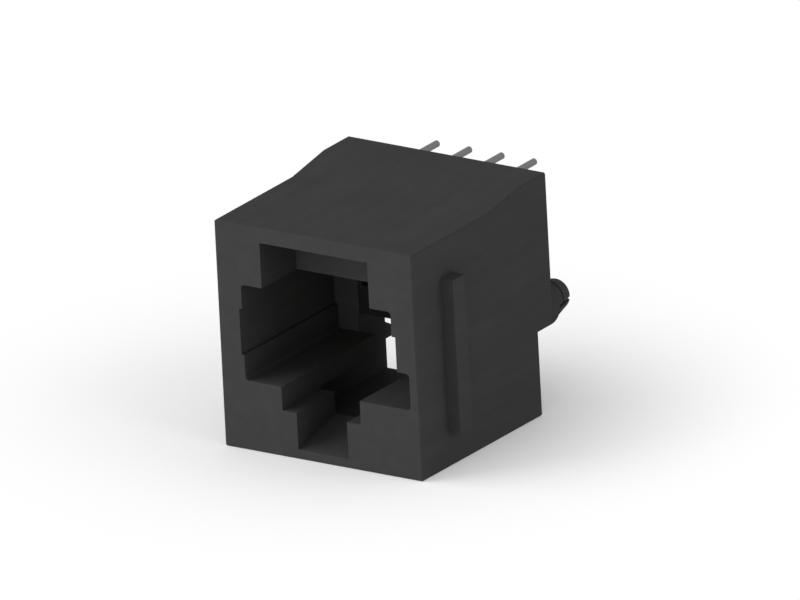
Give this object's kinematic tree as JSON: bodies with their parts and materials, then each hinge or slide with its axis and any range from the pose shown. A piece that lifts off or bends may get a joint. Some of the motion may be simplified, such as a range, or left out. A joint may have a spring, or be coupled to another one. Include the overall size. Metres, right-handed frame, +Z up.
{
  "type": "modular jack",
  "caption": "Keyed top-entry modular jack for a circuit board: moulded plug socket with panel stops, pegs and sprung wire contacts.",
  "frame": {"origin": "centre of the whole part's footprint, on the surface that the latch-side wall rests on", "axes": "+X to the right seen from the plug face, +Y from the plug face towards the circuit board, +Z up from the latch-side wall"},
  "size_m": [0.0174, 0.0194, 0.0162],
  "materials": {
    "housing_plastic": "moulded, fine matt",
    "insert_plastic": "moulded, fine matt",
    "contact_wire": "plated bronze wire, bright"
  },
  "bodies": {
    "root": {"housing": "housing_plastic", "contact_insert": "insert_plastic", "contact_1": "contact_wire", "contact_2": "contact_wire", "contact_3": "contact_wire", "contact_4": "contact_wire", "contact_5": "contact_wire", "contact_6": "contact_wire", "contact_7": "contact_wire", "contact_8": "contact_wire"}
  },
  "joints": []
}
